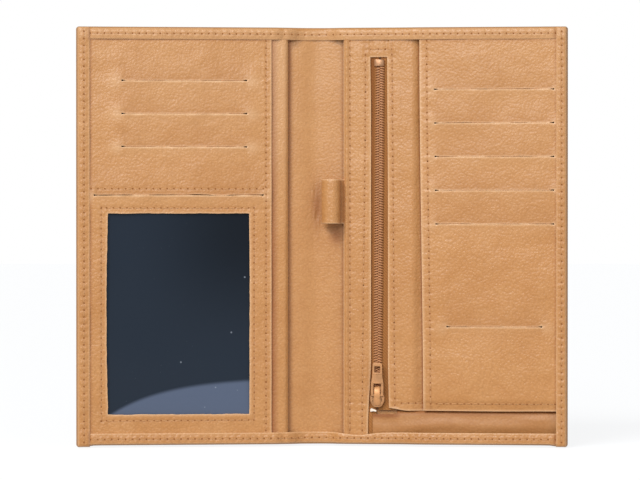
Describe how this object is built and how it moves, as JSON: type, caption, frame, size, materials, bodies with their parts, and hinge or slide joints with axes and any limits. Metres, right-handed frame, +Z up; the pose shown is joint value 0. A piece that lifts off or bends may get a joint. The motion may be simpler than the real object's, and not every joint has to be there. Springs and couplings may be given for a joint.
{
  "type": "long wallet",
  "caption": "Long upright leather wallet open like a book, with card slits, a clear window pocket, a zipped coin pouch and a pen loop.",
  "frame": {"origin": "centre of the bounding box at the bottom edge the wallet stands on", "axes": "+X along the open wallet from the window half to the zip half, +Y towards its back, +Z up"},
  "size_m": [0.2346, 0.0198, 0.2],
  "materials": {
    "cover_leather": "fine grain, soft sheen",
    "lining_leather": "smooth",
    "stiffening_board": "matt",
    "bill_pocket_leather": "fine grain, soft sheen",
    "left_panel_leather": "fine grain, soft sheen",
    "pocket_cloth_left": "woven",
    "window_backing_cloth": "woven",
    "window_film": "clear film over dark cloth",
    "pouch_leather": "fine grain, soft sheen",
    "gusset_leather": "smooth",
    "right_panel_leather": "fine grain, soft sheen",
    "pocket_cloth_right": "woven",
    "pen_loop_leather": "fine grain, soft sheen",
    "zip_tape": "twill weave",
    "zip_coil": "satin nylon",
    "zip_end_stop": "satin",
    "zip_start_stop": "satin",
    "slider_paint": "satin lacquer",
    "bridge_paint": "satin lacquer",
    "pull_tab_paint": "satin lacquer"
  },
  "bodies": {
    "left_half": {"cover_left": "cover_leather", "spine_cover": "cover_leather", "spine_lining": "lining_leather", "lining_left": "lining_leather", "stiffener_left": "stiffening_board", "bill_pocket_front": "bill_pocket_leather", "card_window_panel": "left_panel_leather", "card_pocket_left_1": "pocket_cloth_left", "card_pocket_left_2": "pocket_cloth_left", "card_pocket_left_3": "pocket_cloth_left", "window_pocket_back": "window_backing_cloth", "window_film": "window_film"},
    "right_half": {"cover_right": "cover_leather", "lining_right": "lining_leather", "stiffener_right": "stiffening_board", "pouch_front": "pouch_leather", "pouch_gusset": "gusset_leather", "card_panel_right": "right_panel_leather", "card_pocket_right_1": "pocket_cloth_right", "card_pocket_right_2": "pocket_cloth_right", "card_pocket_right_3": "pocket_cloth_right", "card_pocket_right_4": "pocket_cloth_right", "card_pocket_right_5": "pocket_cloth_right", "small_pocket_right_1": "pocket_cloth_right", "pen_loop": "pen_loop_leather", "zip_tape_left": "zip_tape", "zip_tape_right": "zip_tape", "zip_coil_left": "zip_coil", "zip_coil_right": "zip_coil", "zip_end_stop": "zip_end_stop", "zip_start_stop": "zip_start_stop"},
    "slider": {"slider_body": "slider_paint", "slider_bridge": "bridge_paint"},
    "pull_tab": {"pull_tab": "pull_tab_paint"}
  },
  "joints": [
    {"name": "fold", "type": "hinge", "parent": "left_half", "child": "right_half", "pos_m": [0, 0.00106, 0.1], "axis": [0, 0, -1], "range_deg": [-11, 169], "deforming": ["spine_cover", "spine_lining"]},
    {"name": "zip_slide", "type": "slide", "parent": "right_half", "child": "slider", "axis": [0.0075, -0.0007, 1], "range_m": [0, 0.1515], "deforming": ["zip_coil_left", "zip_coil_right"]},
    {"name": "tab_swing", "type": "hinge", "parent": "slider", "child": "pull_tab", "pos_m": [0.02633, 0.00033, 0.0242], "axis": [0.9954, -0.0958, -0.0075], "range_deg": [0, 180]}
  ]
}
